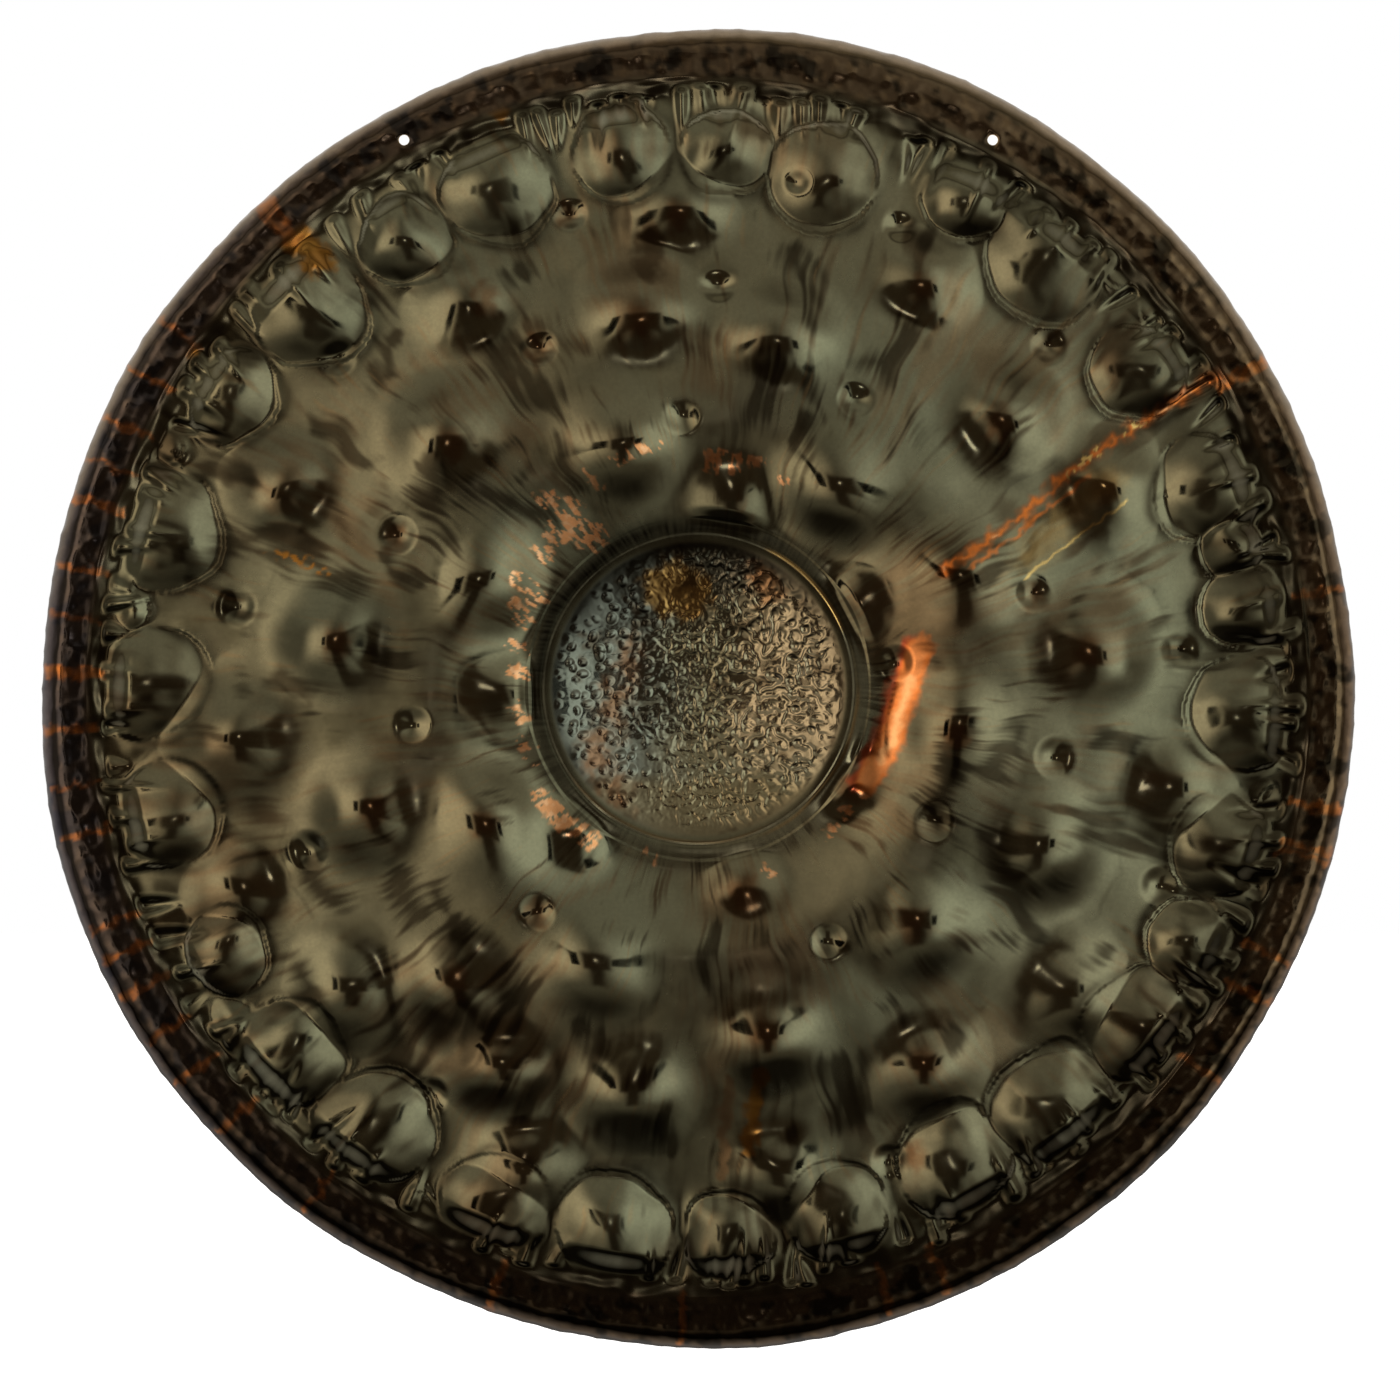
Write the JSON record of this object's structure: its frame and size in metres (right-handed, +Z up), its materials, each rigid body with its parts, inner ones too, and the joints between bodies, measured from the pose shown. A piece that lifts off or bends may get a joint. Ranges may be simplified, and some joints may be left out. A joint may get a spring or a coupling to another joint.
{
  "type": "tam tam gong",
  "caption": "Large hanging tam tam gong of hammered bronze, with a domed face, a pebbled dished cup, a flat band with cord holes and a turned-back rim.",
  "frame": {"origin": "middle of the overall box: on the centre line of the disc, halfway between the furthest hammered dome in front and the back edge of the rim", "axes": "+Z up as the gong hangs, -Y out of the striking face towards the player, +Y out of the open back, +X to the right as the player sees it"},
  "size_m": [0.81, 0.0693, 0.81],
  "materials": {
    "bronze": "dark hammered bronze, semi-bright on the face, heat-darkened with brown and copper streaks on the band"
  },
  "bodies": {
    "root": {"gong_plate": "bronze"}
  },
  "joints": []
}
